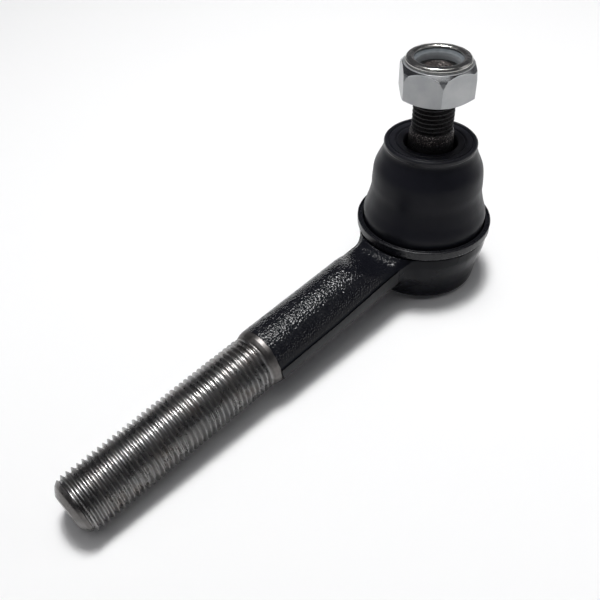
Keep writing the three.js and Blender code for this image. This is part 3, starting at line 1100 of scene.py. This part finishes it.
def floor_material():
    """Plain pale paper."""
    material, tree, shader = new_material("studio_floor")
    tone = noise(tree, place(tree), 400.0)
    colour = ramp(tree, tone, [(0.3, (0.93, 0.93, 0.93)), (0.7, (0.95, 0.95, 0.95))])
    tree.links.new(colour, shader.inputs["Base Color"])
    shader.inputs["Roughness"].default_value = 0.9
    shader.inputs["Specular IOR Level"].default_value = 0.1
    return material


def paint_over(obj, material):
    """Gives the object this material only."""
    obj.data.materials.clear()
    obj.data.materials.append(material)


# ---------------------------------------------------------------- pieces on their bodies

def dress_piece(obj, material, body, slot, *nodes):
    """Gives a piece its material, and says what it rides on and replaces. The slot is not used."""
    paint_over(obj, material)
    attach(obj, body)
    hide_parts(*nodes)


black_steel = black_steel_material()
dress_piece(build_forging(), paint_material(), "housing", "painted_forging", "forged_housing")
dress_piece(build_shank_thread(), bare_steel_material(), "housing", "bare_thread", "forged_housing")
dress_piece(build_closing_plate(), black_steel, "housing", "black_steel", "closing_plate")
dress_piece(build_base_ring(), black_steel, "housing", "black_steel", "boot_base_ring")
dress_piece(build_ball_stud(), phosphate_material(), "stud", "phosphated_steel", "ball_stud")
dress_piece(build_lock_nut(), zinc_material(), "nut", "zinc_plate", "lock_nut")
dress_piece(build_nylon_insert(), nylon_material(), "nut_carrier", "nylon", "nylon_insert")

boot = build_dust_boot()
paint_over(boot, rubber_material())
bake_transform(boot)
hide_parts("dust_boot")

# The hidden pieces keep the CAD model's solids.
acetal, spring_steel = plastic_material(), spring_material()
for node, material in (
    ("upper_ball_seat", acetal),
    ("lower_ball_seat", acetal),
    ("preload_spring", spring_steel),
    ("boot_lip_ring", spring_steel),
):
    paint_over(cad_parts[node], material)


# ---------------------------------------------------------------- stage, light and camera

# The part stands on the thread's end and on the far edge of the housing's bottom. The floor
# rises by 8.8 mm over the 141.4 mm between them, and passes through that edge.
REST_TILT = math.atan2(8.8, 141.4)
REST_POINT = Vector((15.9, 0, -0.05)) * MM


def build_floor():
    """A pale floor, 5 m across."""
    half = 2.5
    mesh = bpy.data.meshes.new("studio_floor")
    corners = [(-half, -half, 0), (half, -half, 0), (half, half, 0), (-half, half, 0)]
    mesh.from_pydata(corners, [], [(0, 1, 2, 3)])
    floor = bpy.data.objects.new("studio_floor", mesh)
    floor.location = REST_POINT
    floor.rotation_euler = (0, -REST_TILT, 0)
    bpy.context.scene.collection.objects.link(floor)
    paint_over(floor, floor_material())


def area_light(name, place_m, target_m, size, power):
    """A square white light that looks at a point. Sizes are in metres, power is in watts."""
    light = bpy.data.lights.new(name, "AREA")
    light.shape = "SQUARE"
    light.size = size
    light.energy = power
    obj = bpy.data.objects.new(name, light)
    obj.location = place_m
    aim = Vector(target_m) - Vector(place_m)
    obj.rotation_mode = "QUATERNION"
    obj.rotation_quaternion = aim.to_track_quat("-Z", "Y")
    bpy.context.scene.collection.objects.link(obj)


def build_world():
    """A dim room, which is darker overhead."""
    world = bpy.data.worlds.new("studio")
    world.use_nodes = True
    tree = world.node_tree
    tree.nodes.clear()
    coords = add(tree, "ShaderNodeTexCoord")
    height = axis_value(tree, coords.outputs["Generated"], "Z")
    room = add(tree, "ShaderNodeBackground", Strength=1.0)
    # Positions go from the horizon, 0, to straight up, 1.
    sky = ramp(tree, height, [
        (0.0, (0.20, 0.20, 0.21)),
        (0.2, (0.17, 0.17, 0.18)),
        (0.5, (0.045, 0.045, 0.05)),
    ])
    tree.links.new(sky, room.inputs["Color"])
    out = add(tree, "ShaderNodeOutputWorld")
    tree.links.new(room.outputs[0], out.inputs["Surface"])
    bpy.context.scene.world = world


def build_camera():
    """The camera that was fitted to the photograph."""
    place_mm = Vector((-150.71, -108.3, 146.93))
    yaw, pitch, roll = (math.radians(a) for a in (42.145, 41.695, -2.415))
    forward = Vector((
        math.sin(yaw) * math.cos(pitch), math.cos(yaw) * math.cos(pitch), -math.sin(pitch)
    ))
    level = Vector((math.cos(yaw), -math.sin(yaw), 0))
    above = level.cross(forward)
    right = level * math.cos(roll) + above * math.sin(roll)
    up = above * math.cos(roll) - level * math.sin(roll)
    data = bpy.data.cameras.new("camera")
    data.sensor_width = 36
    data.lens = 43.346
    data.clip_start, data.clip_end = 0.01, 20
    data.shift_x, data.shift_y = 0.0017, 0.0021
    camera = bpy.data.objects.new("camera", data)
    camera.matrix_world = matrix_of(right, up, -forward, place_mm * MM)
    bpy.context.scene.collection.objects.link(camera)
    bpy.context.scene.camera = camera


build_floor()
build_world()
build_camera()
SHANK_MIDDLE, BOOT_MIDDLE = (-0.04, 0, 0), (0, 0, 0.03)
area_light("overhead_softbox", (0.02, 0.08, 0.75), SHANK_MIDDLE, 0.2, 4.0)
area_light("softbox_core", (0.02, 0.08, 0.74), SHANK_MIDDLE, 0.07, 0.8)
area_light("ceiling_fill", (-0.1, -0.05, 1.6), SHANK_MIDDLE, 1.5, 6.0)
area_light("left_panel", (-0.75, 0.55, 0.5), BOOT_MIDDLE, 0.5, 0.35)
area_light("right_panel", (0.7, -0.55, 0.5), BOOT_MIDDLE, 0.5, 0.35)
bpy.context.scene.view_settings.view_transform = "Standard"
